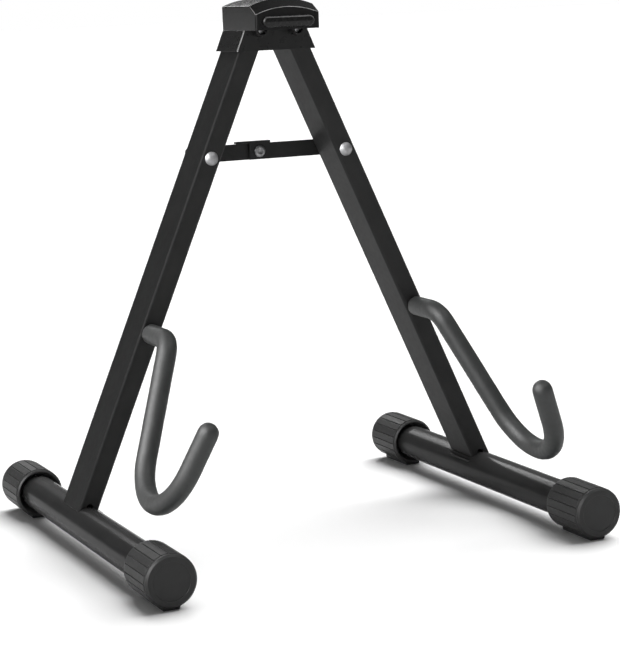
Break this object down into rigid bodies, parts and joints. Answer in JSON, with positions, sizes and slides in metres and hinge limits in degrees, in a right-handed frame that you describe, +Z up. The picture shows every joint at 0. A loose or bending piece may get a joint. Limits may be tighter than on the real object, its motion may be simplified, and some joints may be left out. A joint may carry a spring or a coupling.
{
  "type": "folding guitar stand",
  "caption": "Folding A-frame guitar stand with hinged legs, a two-link brace, padded cradle hooks and rubber-capped round feet.",
  "frame": {"origin": "on the floor, midway between the feet and midway along them, with the stand open", "axes": "+Z up, the cradle hooks and the nose of the head point towards -Y, and the feet stand apart along X"},
  "size_m": [0.343, 0.315, 0.3705],
  "materials": {
    "head_plastic": "moulded black plastic, fine grain",
    "bracket_plastic": "moulded black plastic, fine grain",
    "pad_rubber": "smooth black rubber",
    "cap_rubber": "ribbed black rubber",
    "hook_sleeve": "soft dark grey sleeve",
    "leg_paint": "satin black powder coat",
    "foot_paint": "semi-gloss black powder coat",
    "link_paint": "satin black powder coat",
    "rivet_zinc": "dull zinc plate",
    "plain_steel": "zinc-plated steel",
    "nylon": "natural nylon"
  },
  "bodies": {
    "head": {"head_cover": "head_plastic", "head_pad": "pad_rubber", "hinge_bracket": "bracket_plastic", "cover_screws": "plain_steel", "hinge_pins": "plain_steel", "hinge_retainers": "plain_steel", "hinge_washers": "nylon"},
    "left_leg": {"left_leg": "leg_paint", "left_foot_tube": "foot_paint", "left_front_cap": "cap_rubber", "left_back_cap": "cap_rubber", "left_hook_rod": "plain_steel", "left_hook_sleeve": "hook_sleeve", "left_hook_screw": "plain_steel", "left_hook_washer": "plain_steel", "left_brace_rivet": "rivet_zinc", "left_brace_spacer": "plain_steel"},
    "right_leg": {"right_leg": "leg_paint", "right_foot_tube": "foot_paint", "right_front_cap": "cap_rubber", "right_back_cap": "cap_rubber", "right_hook_rod": "plain_steel", "right_hook_sleeve": "hook_sleeve", "right_hook_screw": "plain_steel", "right_hook_washer": "plain_steel", "right_brace_rivet": "rivet_zinc", "right_brace_washer": "plain_steel"},
    "front_link": {"front_link": "link_paint", "centre_rivet": "rivet_zinc"},
    "back_link": {"back_link": "link_paint", "left_rivet_tail": "rivet_zinc"}
  },
  "joints": [
    {"name": "left_leg_fold", "type": "hinge", "parent": "head", "child": "left_leg", "pos_m": [-0.0135, 0.0215, 0.3493], "axis": [0, -1, 0], "range_deg": [0, 22]},
    {"name": "right_leg_fold", "type": "hinge", "parent": "head", "child": "right_leg", "pos_m": [0.0135, 0.0215, 0.3493], "axis": [0, 1, 0], "range_deg": [0, 22]},
    {"name": "front_link_swing", "type": "hinge", "parent": "right_leg", "child": "front_link", "pos_m": [0.05103, 0.0407, 0.2634], "axis": [0, 1, 0], "range_deg": [0, 49.6]},
    {"name": "back_link_swing", "type": "hinge", "parent": "front_link", "child": "back_link", "pos_m": [0, 0.043, 0.2634], "axis": [0, -1, 0], "range_deg": [0, 143.19]}
  ],
  "couplings": [
    {"joint": "right_leg_fold", "follows": "left_leg_fold", "ratio": 1},
    {"joint": "front_link_swing", "follows": "left_leg_fold", "ratio": 2.254},
    {"joint": "back_link_swing", "follows": "left_leg_fold", "ratio": 6.508}
  ]
}
